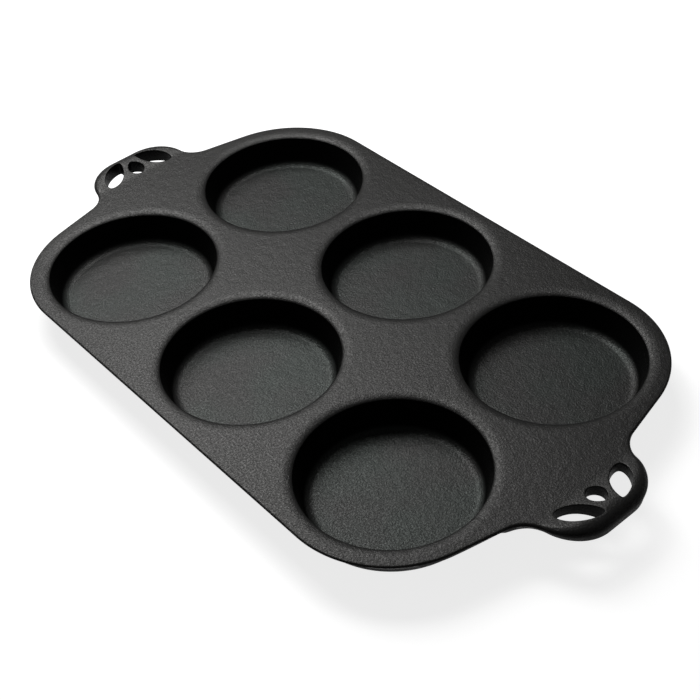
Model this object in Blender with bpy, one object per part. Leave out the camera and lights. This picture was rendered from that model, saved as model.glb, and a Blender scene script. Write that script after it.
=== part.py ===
"""Six-cup cast iron muffin pan.

The real pan is one casting: a flat deck, six shallow round cups with rolled lips, and a
pierced grip at each short end. It is modelled here as the sections that a pattern maker would
turn and carve apart: the deck, each cup with its lip, and each grip. Neighbouring sections meet
along the lines where the casting's own surface changes from one form to the next.

Metres, +Z up. The origin is the middle of the plane that the cups stand on, and the long side
runs along X. Run it with blender --background --python part.py, or from the text editor.
"""

import math

import bmesh
import bpy
from mathutils import Matrix, Vector

# Grid of cups. Land is the flat iron left between two lips, or outside the outer ones.
COLUMN_COUNT = 3
ROW_COUNT = 2
LAND_BETWEEN = 0.0052
LAND_OUTSIDE = 0.0064

# One cup, measured from the deck's top face and from its own axis.
MOUTH_RADIUS = 0.0499
CUP_DEPTH = 0.019
WALL_DRAFT = math.radians(10.0)
LIP_WIDTH = 0.0050
LIP_DROP = 0.0023
FLOOR_FILLET = 0.0055
WALL_THICKNESS = 0.0030
FLOOR_THICKNESS = 0.0030
FOOT_ROUND = 0.0080
RIM_FILLET = 0.0020

# Deck. Its corners are round about the corner cups, and its short ends lean out to the grips.
DECK_THICKNESS = 0.0042
SIDE_UNDERCUT = 0.0039
END_UNDERCUT = 0.0015
END_RAKE = math.radians(13.4)
EDGE_ROUND = 0.0010

# Grips. Width is where the grip's sides would meet the deck's raked ends without a fillet.
GRIP_WIDTH = 0.0690
GRIP_REACH = 0.0246
GRIP_LEAN = math.radians(15.0)
GRIP_CORNER = 0.0230
GRIP_THICKNESS = 0.0063
GRIP_RISE = 0.0043
GRIP_UNDERCUT = 0.0012
NECK_FILLET = 0.0080
NECK_LAND = 0.0003
CROWN_WIDTH = 0.0100
CROWN_DROP = 0.0064
CROWN_GROWTH = 1.6

# Petal-shaped openings through each grip. Lands are the iron left between a petal and an edge.
MIDDLE_PETAL_WIDTH = 0.0101
MIDDLE_TIP_LAND = 0.0104
MIDDLE_BASE_LAND = 0.0022
SIDE_PETAL_WIDTH = 0.0110
SIDE_TIP_LAND = 0.0061
SIDE_BASE_LAND = 0.0020
SIDE_EDGE_LAND = 0.0092
SIDE_TIP_SPREAD = 0.0063
PETAL_FULLNESS = 0.88
PETAL_BLUNTNESS = 0.62

# Running gap that keeps neighbouring sections from touching.
GAP = 0.0003

# Facets.
CUP_SEGMENTS = 40
FLOOR_STEPS = 4
LIP_STEPS = 4
FOOT_STEPS = 4
CORNER_STEPS = 14
EDGE_STEPS = 2
NECK_STEPS = 4
GRIP_STEPS = 12
CROWN_STEPS = 4
PETAL_STEPS = 14
SHARP_ANGLE = math.radians(35.0)
MERGE_DISTANCE = 1.0e-6

IRON_COLOUR = (0.030, 0.030, 0.029, 1.0)
IRON_ROUGHNESS = 0.55
IRON_METALLIC = 0.35

# What follows from the sizes above. Levels are above the plane that the pan stands on.
DECK_TOP = CUP_DEPTH + FLOOR_THICKNESS
DECK_UNDERSIDE = DECK_TOP - DECK_THICKNESS
LIP_RADIUS = MOUTH_RADIUS + LIP_WIDTH
CUP_PITCH = 2.0 * LIP_RADIUS + LAND_BETWEEN
DECK_MARGIN = LIP_RADIUS + LAND_OUTSIDE
QUARTER_TURN = math.pi / 2.0


def clear_scene():
    """Removes whatever the scene holds."""
    for item in list(bpy.data.objects):
        bpy.data.objects.remove(item, do_unlink=True)


def iron(name):
    """Seasoned cast iron, as a material of its own for one section."""
    material = bpy.data.materials.new(name)
    material.use_nodes = True
    shader = material.node_tree.nodes["Principled BSDF"]
    shader.inputs["Base Color"].default_value = IRON_COLOUR
    shader.inputs["Roughness"].default_value = IRON_ROUGHNESS
    shader.inputs["Metallic"].default_value = IRON_METALLIC
    return material


def finish(mesh, name, parent, location=(0.0, 0.0, 0.0), turn=0.0):
    """Makes the named section from a bmesh, shaded smooth and with its own iron."""
    bmesh.ops.recalc_face_normals(mesh, faces=mesh.faces)
    data = bpy.data.meshes.new(name)
    mesh.to_mesh(data)
    mesh.free()
    data.shade_smooth()
    data.set_sharp_from_angle(angle=SHARP_ANGLE)
    data.materials.append(iron(name + "_iron"))
    section = bpy.data.objects.new(name, data)
    bpy.context.scene.collection.objects.link(section)
    section.parent = parent
    section.location = location
    section.rotation_euler = (0.0, 0.0, turn)
    return section


def unit(angle):
    """The level direction at an angle from +X."""
    return Vector((math.cos(angle), math.sin(angle)))


def meet(point_a, direction_a, point_b, direction_b):
    """Where two level lines cross, each given by a point and a direction."""
    across = direction_a.x * direction_b.y - direction_a.y * direction_b.x
    step = point_b - point_a
    along = (step.x * direction_b.y - step.y * direction_b.x) / across
    return point_a + direction_a * along


def fillet(before, corner, after, radius, steps):
    """An arc that rounds the corner between two level lines.

    It gives pairs of a point and the outward normal there, for an outline that runs
    counter-clockwise. The radius is limited by the shorter line.
    """
    back = (before - corner).normalized()
    ahead = (after - corner).normalized()
    half = math.acos(max(-1.0, min(1.0, back.dot(ahead)))) / 2.0
    room = min((before - corner).length, (after - corner).length)
    radius = min(radius, room * math.tan(half))
    centre = corner + (back + ahead).normalized() * radius / math.sin(half)
    convex = back.x * ahead.y - back.y * ahead.x < 0.0
    start = corner + back * radius / math.tan(half) - centre
    sweep = (math.pi - 2.0 * half) * (1.0 if convex else -1.0)
    pairs = []
    for index in range(steps + 1):
        arm = Matrix.Rotation(sweep * index / steps, 2) @ start
        normal = arm.normalized() * (1.0 if convex else -1.0)
        pairs.append((centre + arm, normal))
    return pairs


class Plan:
    """The casting's outline seen from above, for the quarter with X and Y positive."""

    def __init__(self):
        corner_cup = Vector(((COLUMN_COUNT - 1) * CUP_PITCH / 2.0, (ROW_COUNT - 1) * CUP_PITCH / 2.0))
        self.half_width = corner_cup.y + DECK_MARGIN
        rake_normal = unit(END_RAKE)
        rake_point = corner_cup + rake_normal * DECK_MARGIN
        self.bend_start = corner_cup
        rake = Vector((-rake_normal.y, rake_normal.x))
        self.deck_corner = meet(rake_point, rake, Vector((0.0, self.half_width)), Vector((1.0, 0.0)))
        self.neck_corner = meet(rake_point, rake, Vector((0.0, GRIP_WIDTH / 2.0)), Vector((1.0, 0.0)))
        self.side = unit(-GRIP_LEAN)
        self.neck_start = rake_point
        side_end = self.side_at(self.neck_corner.x + GRIP_REACH)
        self.neck = fillet(side_end, self.neck_corner, rake_point, NECK_FILLET, NECK_STEPS)
        self.root = self.neck[0][0].x + NECK_LAND
        self.tip = self.root + GRIP_REACH

    def side_at(self, x):
        """The point of the grip's straight side at a given X."""
        return self.neck_corner + self.side * ((x - self.neck_corner.x) / self.side.x)

    def cut_pair(self):
        """The outline's point where deck and grip meet, drawn in along the cut and not off it."""
        return self.side_at(self.root), Vector((0.0, 1.0 / math.cos(GRIP_LEAN)))

    def deck_quarter(self):
        """The deck's outline from the cut to the middle of the long side."""
        middle = Vector((0.0, self.half_width))
        corner = fillet(self.neck_start, self.deck_corner, middle, DECK_MARGIN, CORNER_STEPS)
        return [self.cut_pair()] + self.neck + corner

    def grip_half(self):
        """The grip's outline from the middle of its outer end to the cut."""
        outer = self.side_at(self.tip)
        start = Vector((self.tip, 0.0))
        arc = fillet(start, outer, self.side_at(self.root), GRIP_CORNER, GRIP_STEPS)
        return arc + [self.cut_pair()]


def mirrored(pairs, across_x, across_y):
    """The same outline pairs mirrored, in the order that keeps them counter-clockwise."""
    flip = Vector((-1.0 if across_x else 1.0, -1.0 if across_y else 1.0))
    result = [(point * flip, normal * flip) for point, normal in pairs]
    return result[::-1] if across_x != across_y else result


def add_ring(mesh, points):
    """Adds one closed ring of corners."""
    return [mesh.verts.new(point) for point in points]


def skin(mesh, rings):
    """Joins rings of equal count with quads and closes the first and the last."""
    for lower, upper in zip(rings, rings[1:]):
        count = len(lower)
        for index in range(count):
            after = (index + 1) % count
            mesh.faces.new((lower[index], lower[after], upper[after], upper[index]))
    mesh.faces.new(rings[0])
    mesh.faces.new(rings[-1][::-1])


def cut(section, cutter):
    """Subtracts a cutter, which stays in the scene as a hidden guide."""
    cutter.hide_render = True
    cutter.display_type = "WIRE"
    modifier = section.modifiers.new("cut_" + cutter.name, "BOOLEAN")
    modifier.operation = "DIFFERENCE"
    modifier.object = cutter


def smooth_step(value):
    """Runs from 0 to 1 with level ends."""
    value = max(0.0, min(1.0, value))
    return value * value * (3.0 - 2.0 * value)


def build_deck(plan, parent):
    """The flat deck with its round corners, raked ends and one hole for each cup."""
    quarter = plan.deck_quarter()
    outline = quarter + mirrored(quarter, True, False)
    outline += mirrored(quarter, True, True) + mirrored(quarter, False, True)

    def along(point, start, end):
        """How far a point of the outline lies from one X to another, eased."""
        return smooth_step((abs(point.x) - start.x) / (end.x - start.x))

    def undercut(point):
        """The slope under the edge: wide under the long sides, steep round the ends."""
        edge = SIDE_UNDERCUT + (END_UNDERCUT - SIDE_UNDERCUT) * along(point, plan.bend_start, plan.neck_start)
        neck = GRIP_UNDERCUT * DECK_THICKNESS / GRIP_THICKNESS
        return edge + (neck - edge) * along(point, plan.neck_start, plan.cut_pair()[0])

    mesh = bmesh.new()
    under = [
        Vector((*(point - normal * undercut(point)), DECK_UNDERSIDE)) for point, normal in outline
    ]
    rings = [add_ring(mesh, under)]
    for step in range(EDGE_STEPS + 1):
        angle = QUARTER_TURN * step / EDGE_STEPS
        inset = EDGE_ROUND * (1.0 - math.cos(angle))
        height = DECK_TOP - EDGE_ROUND * (1.0 - math.sin(angle))
        rings.append(add_ring(mesh, [
            Vector((*(point - normal * inset), height)) for point, normal in outline
        ]))
    skin(mesh, rings)
    deck = finish(mesh, "deck", parent)

    for name, centre in cup_places():
        bore = bmesh.new()
        bmesh.ops.create_cone(
            bore,
            cap_ends=True,
            segments=CUP_SEGMENTS,
            radius1=LIP_RADIUS + GAP,
            radius2=LIP_RADIUS + GAP,
            depth=DECK_THICKNESS * 4.0,
            matrix=Matrix.Translation((*centre, DECK_TOP)),
        )
        cut(deck, finish(bore, name + "_bore", parent))
    return deck


def cup_places():
    """Each cup's name and the place of its axis. Names go round the grid as a user sees it."""
    row_names = side_names("front", "middle", "back", ROW_COUNT)
    column_names = side_names("left", "middle", "right", COLUMN_COUNT)
    places = []
    for row, row_name in enumerate(row_names):
        for column, column_name in enumerate(column_names):
            x = (column - (COLUMN_COUNT - 1) / 2.0) * CUP_PITCH
            y = (row - (ROW_COUNT - 1) / 2.0) * CUP_PITCH
            places.append(("cup_%s_%s" % (row_name, column_name), Vector((x, y))))
    return places


def side_names(first, between, last, count):
    """Names along one direction of the grid, numbered where more than one lies between."""
    inner = [between] if count == 3 else ["%s_%d" % (between, n + 1) for n in range(count - 2)]
    return ([first] + inner + [last])[:max(count, 1)]


def arc(centre, radii, start, end, steps):
    """Points of an elliptical arc in the profile plane, from one angle to another."""
    points = []
    for index in range(steps + 1):
        angle = start + (end - start) * index / steps
        points.append(centre + Vector((radii[0] * math.cos(angle), radii[1] * math.sin(angle))))
    return points


def cup_profile():
    """Half section of a cup: up the inside, over the lip, and down the outside to the foot.

    Points are (radius, height above the standing plane).
    """
    lip_centre = Vector((LIP_RADIUS, DECK_TOP - LIP_DROP))
    wall_top = Vector((MOUTH_RADIUS, DECK_TOP - LIP_DROP))
    down = Vector((-math.sin(WALL_DRAFT), -math.cos(WALL_DRAFT)))
    outward = Vector((math.cos(WALL_DRAFT), -math.sin(WALL_DRAFT)))

    # Inside, from the middle of the floor.
    fillet_height = FLOOR_THICKNESS + FLOOR_FILLET
    run = (wall_top.y - fillet_height + FLOOR_FILLET * math.sin(WALL_DRAFT)) / -down.y
    foot_of_wall = wall_top + down * run
    floor_centre = foot_of_wall - outward * FLOOR_FILLET
    inside = [Vector((0.0, FLOOR_THICKNESS))]
    inside += arc(floor_centre, (FLOOR_FILLET, FLOOR_FILLET), -QUARTER_TURN, -WALL_DRAFT, FLOOR_STEPS)
    lip = arc(lip_centre, (LIP_WIDTH, LIP_DROP), 2.0 * QUARTER_TURN, QUARTER_TURN, LIP_STEPS)

    # Outside, from the rim's underside to the middle of the foot.
    outer_top = wall_top + outward * WALL_THICKNESS

    def outer_radius(height):
        """The outer wall's radius at a height."""
        return outer_top.x + (height - outer_top.y) * math.tan(WALL_DRAFT)

    rim = [Vector((LIP_RADIUS, DECK_UNDERSIDE))]
    rim_room = LIP_RADIUS - outer_radius(DECK_UNDERSIDE)
    rim_fillet = max(0.0, min(RIM_FILLET, rim_room - GAP))
    rim.append(Vector((outer_radius(DECK_UNDERSIDE) + rim_fillet, DECK_UNDERSIDE)))
    rim.append(Vector((outer_radius(DECK_UNDERSIDE - rim_fillet), DECK_UNDERSIDE - rim_fillet)))
    foot_round = min(FOOT_ROUND, DECK_UNDERSIDE - rim_fillet - GAP)
    turn_height = foot_round * (1.0 - math.sin(WALL_DRAFT))
    foot_centre = Vector((outer_radius(turn_height), turn_height)) - outward * foot_round
    foot = arc(foot_centre, (foot_round, foot_round), -WALL_DRAFT, -QUARTER_TURN, FOOT_STEPS)
    return inside + lip + rim + foot + [Vector((0.0, 0.0))]


def build_cup(name, centre, parent):
    """One cup, its profile turned once round its own upright axis."""
    mesh = bmesh.new()
    profile = [mesh.verts.new((point.x, 0.0, point.y)) for point in cup_profile()]
    edges = [mesh.edges.new(pair) for pair in zip(profile, profile[1:])]
    bmesh.ops.spin(
        mesh,
        geom=profile + edges,
        cent=(0.0, 0.0, 0.0),
        axis=(0.0, 0.0, 1.0),
        angle=4.0 * QUARTER_TURN,
        steps=CUP_SEGMENTS,
    )
    bmesh.ops.remove_doubles(mesh, verts=mesh.verts, dist=MERGE_DISTANCE)
    return finish(mesh, name, parent, location=(*centre, 0.0))


def petal_outline(base, tip, width):
    """A petal seen from above: blunt at its base, narrower at its tip, fullest between."""
    axis = tip - base
    across = Vector((-axis.y, axis.x)).normalized()
    spine = []
    for step in range(PETAL_STEPS + 1):
        share = (1.0 - math.cos(math.pi * step / PETAL_STEPS)) / 2.0
        bulge = max(0.0, math.sin(math.pi * share ** PETAL_FULLNESS)) ** PETAL_BLUNTNESS * width / 2.0
        spine.append((base + axis * share, across * bulge))
    right = [point - bulge for point, bulge in spine]
    left = [point + bulge for point, bulge in spine[1:-1]]
    return right + left[::-1]


def petals(plan):
    """The three petals' outlines on the grip at +X: the middle one and the two beside it."""
    base_x = plan.root + SIDE_BASE_LAND
    side_base = Vector((base_x, plan.side_at(base_x).y - SIDE_EDGE_LAND))
    side_tip = Vector((plan.tip - SIDE_TIP_LAND, SIDE_TIP_SPREAD))
    middle_base = Vector((plan.root + MIDDLE_BASE_LAND, 0.0))
    middle_tip = Vector((plan.tip - MIDDLE_TIP_LAND, 0.0))
    flip = Vector((1.0, -1.0))
    return {
        "middle": petal_outline(middle_base, middle_tip, MIDDLE_PETAL_WIDTH),
        "back": petal_outline(side_base, side_tip, SIDE_PETAL_WIDTH),
        "front": petal_outline(side_base * flip, side_tip * flip, SIDE_PETAL_WIDTH),
    }


class GripForm:
    """The solid form of the grip at +X, before its petals are cut.

    Sizes that change along the grip run with a share, which is 0 where the grip leaves the deck
    and 1 at its outer end.
    """

    def __init__(self, plan):
        half = plan.grip_half()
        self.plan = plan
        self.outline = mirrored(half, False, True) + half

    def share(self, point):
        """How far out along the grip a point lies."""
        return max(0.0, (point.x - self.plan.root) / GRIP_REACH)

    def ring(self, inset, height):
        """A closed ring drawn in from the outline and kept off the deck.

        Both arguments are functions: inset takes the outline's point, and height takes the
        drawn-in point and the outline's.
        """
        points = []
        for point, normal in self.outline:
            drawn = point - normal * inset(point)
            drawn.x = max(drawn.x, self.plan.root + GAP)
            points.append(Vector((*drawn, height(drawn, point))))
        return points

    def low_ring(self):
        """The lower edge of the grip, whose flat underside lies below the thinner deck's."""
        return self.ring(lambda point: GRIP_UNDERCUT, lambda drawn, point: DECK_TOP - GRIP_THICKNESS)

    def crown(self, point, most):
        """A crown size at a point of the outline: it starts as the deck's edge round and grows."""
        return EDGE_ROUND + (most - EDGE_ROUND) * self.share(point) ** CROWN_GROWTH

    def crown_ring(self, angle):
        """A ring on the crowned edge: angle 0 is its upright foot, a quarter turn its top."""

        def inset(point):
            return self.crown(point, CROWN_WIDTH) * (1.0 - math.cos(angle))

        def height(drawn, point):
            fall = self.crown(point, CROWN_DROP) * (1.0 - math.sin(angle))
            return DECK_TOP + GRIP_RISE * self.share(drawn) - fall

        return self.ring(inset, height)

    def rings(self):
        """All the form's rings, from the underside to the top."""
        crown = [self.crown_ring(QUARTER_TURN * step / CROWN_STEPS) for step in range(CROWN_STEPS + 1)]
        return [self.low_ring()] + crown


def build_grip(name, turn, plan, parent):
    """One pierced grip, modelled at +X and turned to its end of the pan."""
    mesh = bmesh.new()
    skin(mesh, [add_ring(mesh, ring) for ring in GripForm(plan).rings()])
    grip = finish(mesh, name, parent, turn=turn)
    for petal, outline in petals(plan).items():
        cutter = bmesh.new()
        low = add_ring(cutter, [Vector((*point, 0.0)) for point in outline])
        high = add_ring(cutter, [Vector((*point, DECK_TOP * 2.0)) for point in outline])
        skin(cutter, [low, high])
        cut(grip, finish(cutter, "%s_%s_petal" % (name, petal), parent, turn=turn))
    return grip


def main():
    """Builds the pan under one empty."""
    clear_scene()
    pan = bpy.data.objects.new("pan", None)
    bpy.context.scene.collection.objects.link(pan)
    plan = Plan()
    build_deck(plan, pan)
    for name, centre in cup_places():
        build_cup(name, centre, pan)
    build_grip("handle_left", 2.0 * QUARTER_TURN, plan, pan)
    build_grip("handle_right", 0.0, plan, pan)


main()
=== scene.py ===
"""Looks of a cast iron muffin pan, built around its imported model.

The real pan is one sand casting under a baked-on black seasoning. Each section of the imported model
is replaced by a finer skin of the same size: the deck, the battery of cups and the two pierced
grips. Their borders meet exactly, with level surfaces on both sides, so the casting shows no joint.

Sizes are in metres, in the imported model's own frame: +X along the pan, +Z up, and the pan stands
on the plane Z = 0.
"""

import logging
import math
from dataclasses import dataclass
from enum import Enum
from functools import cache
from typing import Callable, Sequence

import bmesh
import bpy
import numpy as np
from bpy.types import Material, Mesh, Node, NodeSocket as Socket, Object
from mathutils import Matrix, Vector, geometry


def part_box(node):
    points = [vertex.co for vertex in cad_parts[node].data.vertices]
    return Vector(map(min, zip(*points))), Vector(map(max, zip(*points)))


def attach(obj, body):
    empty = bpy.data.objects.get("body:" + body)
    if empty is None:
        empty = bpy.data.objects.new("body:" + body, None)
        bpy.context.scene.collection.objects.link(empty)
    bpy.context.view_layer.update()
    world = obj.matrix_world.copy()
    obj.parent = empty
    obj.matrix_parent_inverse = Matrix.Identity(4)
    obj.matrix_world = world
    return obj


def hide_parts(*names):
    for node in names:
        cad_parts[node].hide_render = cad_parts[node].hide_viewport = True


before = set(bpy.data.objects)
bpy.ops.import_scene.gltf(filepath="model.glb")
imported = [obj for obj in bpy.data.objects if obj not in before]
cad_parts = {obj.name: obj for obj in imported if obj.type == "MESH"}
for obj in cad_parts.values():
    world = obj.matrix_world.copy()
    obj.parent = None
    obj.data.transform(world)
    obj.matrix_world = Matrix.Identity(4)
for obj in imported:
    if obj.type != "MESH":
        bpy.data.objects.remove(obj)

LOG = logging.getLogger("muffin_pan")
BODY = "root"
TOP_FACE = "top_face"  # attribute that says how far a corner belongs to the wavy top
QUARTER_TURN = math.pi / 2.0
MERGE_DISTANCE = 1.0e-6
COUNT_SLACK = 1.0e-6  # share of a chord that rounding may add to a length
POINT_SLACK = 1.0e-9  # distance within which the triangulation takes two points as one
LEAST_SQUARE = 1.0e-18  # least squared length that is divided by
BORDER_CLEAR = 0.6  # least distance of a new corner from a border, in spacings
GRAIN_ROUGHNESS = 0.65
PATCH_SPAN = (0.35, 0.65)
SPECKLE_SPAN = (0.3, 0.7)
NUMBER_SOCKETS = {int: "Int", float: "Float"}

Pair = tuple[Vector, Vector]
Loop = list[Vector]
Ring = list[bmesh.types.BMVert]
ShareAt = Callable[[float, float], float]
Value = Socket | bpy.types.ID | Sequence[float] | float


def smooth_step(value: float) -> float:
    """Runs from 0 to 1 with level ends; a value outside that range is clamped."""
    value = max(0.0, min(1.0, value))
    return value * value * (3.0 - 2.0 * value)


def blend(start: float, end: float, share: float) -> float:
    """The value at a share of the way from start to end."""
    return start + (end - start) * share


def unit(angle: float) -> Vector:
    """The level direction at an angle from +X."""
    return Vector((math.cos(angle), math.sin(angle)))


def meet(point_a: Vector, direction_a: Vector, point_b: Vector, direction_b: Vector) -> Vector:
    """Finds where two level lines cross.

    Args:
        point_a: A point of the first line.
        direction_a: The first line's direction.
        point_b: A point of the second line.
        direction_b: The second line's direction.

    Returns:
        The crossing.
    """
    across = direction_a.x * direction_b.y - direction_a.y * direction_b.x
    step = point_b - point_a
    return point_a + direction_a * ((step.x * direction_b.y - step.y * direction_b.x) / across)


def fillet(before: Vector, corner: Vector, after: Vector, radius: float, steps: int) -> list[Pair]:
    """Rounds the corner between two level lines of a counter-clockwise outline.

    Args:
        before: A point of the line that reaches the corner.
        corner: Where the lines meet.
        after: A point of the line that leaves the corner.
        radius: The arc's radius.
        steps: How many chords the arc has.

    Returns:
        Points of the arc, each with the outward normal there.
    """
    back = (before - corner).normalized()
    ahead = (after - corner).normalized()
    half = math.acos(max(-1.0, min(1.0, back.dot(ahead)))) / 2.0
    centre = corner + (back + ahead).normalized() * radius / math.sin(half)
    side = 1.0 if back.x * ahead.y - back.y * ahead.x < 0.0 else -1.0
    start = corner + back * radius / math.tan(half) - centre
    sweep = (math.pi - 2.0 * half) * side
    arms = [Matrix.Rotation(sweep * index / steps, 2) @ start for index in range(steps + 1)]
    return [(centre + arm, arm.normalized() * side) for arm in arms]


def mirrored(pairs: list[Pair], across_x: bool, across_y: bool) -> list[Pair]:
    """Mirrors outline pairs, in the order that keeps them counter-clockwise.

    Args:
        pairs: Points with their normals.
        across_x: Whether X changes sign.
        across_y: Whether Y changes sign.

    Returns:
        The mirrored pairs.
    """
    flip = Vector((-1.0 if across_x else 1.0, -1.0 if across_y else 1.0))
    result = [(point * flip, normal * flip) for point, normal in pairs]
    return result[::-1] if across_x != across_y else result


def divided(pairs: list[Pair], spacing: float) -> list[Pair]:
    """Adds pairs on an outline's long straights.

    Args:
        pairs: Points with their normals.
        spacing: The longest chord that is left.

    Returns:
        The pairs with the added ones between them.
    """
    result = [pairs[0]]
    for (start, normal_a), (end, normal_b) in zip(pairs, pairs[1:]):
        count = max(1, math.ceil((end - start).length / spacing - COUNT_SLACK))
        for index in range(1, count + 1):
            share = index / count
            result.append((start.lerp(end, share), normal_a.lerp(normal_b, share)))
    return result


def placed(name: str, data: bpy.types.ID) -> Object:
    """Adds an object to the scene.

    Args:
        name: The object's name.
        data: Its mesh, lamp or camera.

    Returns:
        The object.
    """
    made = bpy.data.objects.new(name, data)
    bpy.context.scene.collection.objects.link(made)
    return made


def settle(shell: bmesh.types.BMesh, data: Mesh, sharp: float) -> None:
    """Writes a closed shell into a mesh, with its faces pointing out, and frees it.

    Args:
        shell: The shell.
        data: The mesh that takes it.
        sharp: Angle from which an edge between two faces shows as an edge.
    """
    bmesh.ops.recalc_face_normals(shell, faces=shell.faces)
    shell.to_mesh(data)
    shell.free()
    data.shade_smooth()
    data.set_sharp_from_angle(angle=sharp)


@dataclass(frozen=True)
class PanFrame:
    """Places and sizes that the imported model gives.

    Attributes:
        deck_top: Level of the deck's top face.
        deck_underside: Level of the deck's underside.
        half_width: Half of the deck's width.
        root: X of the cut between deck and grip.
        tip: X of the grip's outer end.
        grip_low: Level of the lowest point of a grip's rim.
        lip_radius: Radius of a cup's lip, where it runs out into the deck.
        cup_pitch: Distance between neighbouring cups, along and across.
    """

    deck_top: float
    deck_underside: float
    half_width: float
    root: float
    tip: float
    grip_low: float
    lip_radius: float
    cup_pitch: tuple[float, float]

    @classmethod
    def read(cls) -> "PanFrame":
        """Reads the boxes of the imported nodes.

        Returns:
            The pan's places and sizes.
        """
        deck_low, deck_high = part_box("deck")
        grip_low, grip_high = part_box("handle_right")
        corner_low, corner_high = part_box("cup_back_right")
        middle_low, middle_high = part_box("cup_front_middle")
        step = (corner_low + corner_high - middle_low - middle_high) / 2.0
        return cls(
            deck_top=deck_high.z,
            deck_underside=deck_low.z,
            half_width=deck_high.y,
            root=deck_high.x,
            tip=grip_high.x,
            grip_low=grip_low.z,
            lip_radius=(corner_high.x - corner_low.x) / 2.0,
            cup_pitch=(step.x, step.y),
        )


@dataclass(frozen=True)
class Outline:
    """The casting's outline seen from above, from the sizes of the quarter with X and Y positive.

    The rake leans the deck's short ends, and the lean draws the grip's sides together. The clears
    keep the cut's loose points off its ends, and the neck's points off the cut.
    """

    pan: PanFrame
    end_rake: float = math.radians(13.4)
    grip_width: float = 0.0698
    grip_lean: float = math.radians(12.0)
    grip_corner: float = 0.0245
    neck_fillet: float = 0.0160
    cut_clear: float = 0.0045
    cut_spacing: float = 0.0022
    join_clear: float = 0.0001
    corner_steps: int = 64
    neck_steps: int = 28
    grip_steps: int = 26

    @property
    def margin(self) -> float:
        """From a corner cup's axis to the deck's edge."""
        return self.pan.half_width - self.pan.cup_pitch[1] / 2.0

    @property
    def rake_point(self) -> Vector:
        """Where the deck's round corner runs out into its raked end."""
        corner_cup = Vector((self.pan.cup_pitch[0], self.pan.cup_pitch[1] / 2.0))
        return corner_cup + unit(self.end_rake) * self.margin

    @property
    def neck_corner(self) -> Vector:
        """Where the raked end and the grip's side would meet without a fillet."""
        rake = unit(self.end_rake + QUARTER_TURN)
        return meet(self.rake_point, rake, Vector((0.0, self.grip_width / 2.0)), Vector((1.0, 0.0)))

    def side_at(self, x: float) -> Vector:
        """The point of the grip's straight side at a given X."""
        side = unit(-self.grip_lean)
        return self.neck_corner + side * ((x - self.neck_corner.x) / side.x)

    def neck(self) -> list[Pair]:
        """The hollow curve from the grip's side to the deck's raked end, which crosses the cut."""
        return fillet(self.side_at(self.pan.tip), self.neck_corner, self.rake_point,
                      self.neck_fillet, self.neck_steps)

    @property
    def neck_centre(self) -> Vector:
        """The centre of the neck's curve, which lies outside the iron."""
        point, normal = self.neck()[0]
        return point + normal * self.neck_fillet

    def cut_pair(self) -> Pair:
        """Finds where the outline crosses the cut.

        Returns:
            The point, and a normal that keeps an inset on the cut.
        """
        pairs = self.neck()
        after = next(index for index, (point, _) in enumerate(pairs) if point.x < self.pan.root)
        (start, turn), (end, end_turn) = pairs[after - 1], pairs[after]
        share = (self.pan.root - start.x) / (end.x - start.x)
        normal = turn.lerp(end_turn, share).normalized()
        return start.lerp(end, share), Vector((0.0, 1.0 / normal.y))

    def cut_line(self) -> list[Pair]:
        """Lays points along the cut, clear of its ends, that no inset moves.

        Returns:
            Points in the order of rising Y, each with no normal.
        """
        half = self.cut_pair()[0].y - self.cut_clear
        count = round(2.0 * half / self.cut_spacing)
        levels = [blend(-half, half, index / count) for index in range(count + 1)]
        return [(Vector((self.pan.root, y)), Vector((0.0, 0.0))) for y in levels]

    def deck_loop(self, spacing: float) -> list[Pair]:
        """The whole deck's outline, counter-clockwise, closed by the two cuts.

        Args:
            spacing: The longest chord on the straights.

        Returns:
            Points with their outward normals.
        """
        rake = unit(self.end_rake + QUARTER_TURN)
        edge = Vector((0.0, self.pan.half_width))
        corner = meet(self.rake_point, rake, edge, Vector((1.0, 0.0)))
        neck = [pair for pair in self.neck() if pair[0].x < self.pan.root - self.join_clear]
        bend = fillet(self.rake_point, corner, edge, self.margin, self.corner_steps)
        straight = divided([bend[-1], (edge, Vector((0.0, 1.0)))], spacing)
        quarter = [self.cut_pair()] + divided(neck + bend, spacing) + straight[1:]
        upper = quarter + mirrored(quarter, True, False)[1:]
        right_cut = self.cut_line()
        left_cut = mirrored(right_cut, True, False)
        return right_cut + upper + left_cut + mirrored(upper, False, True)

    def grip_loop(self, spacing: float) -> list[Pair]:
        """The grip's outline at +X, counter-clockwise, closed by the cut.

        Args:
            spacing: The longest chord on the straights.

        Returns:
            Points with their outward normals.
        """
        end = Vector((self.pan.tip, 0.0))
        neck = [pair for pair in self.neck() if pair[0].x > self.pan.root + self.join_clear]
        bend = fillet(end, self.side_at(self.pan.tip), neck[0][0], self.grip_corner, self.grip_steps)
        middle = (end, Vector((1.0, 0.0)))
        upper = divided([middle] + bend + neck, spacing) + [self.cut_pair()]
        return mirrored(upper, False, True)[:-1] + upper + self.cut_line()[::-1]


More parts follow.
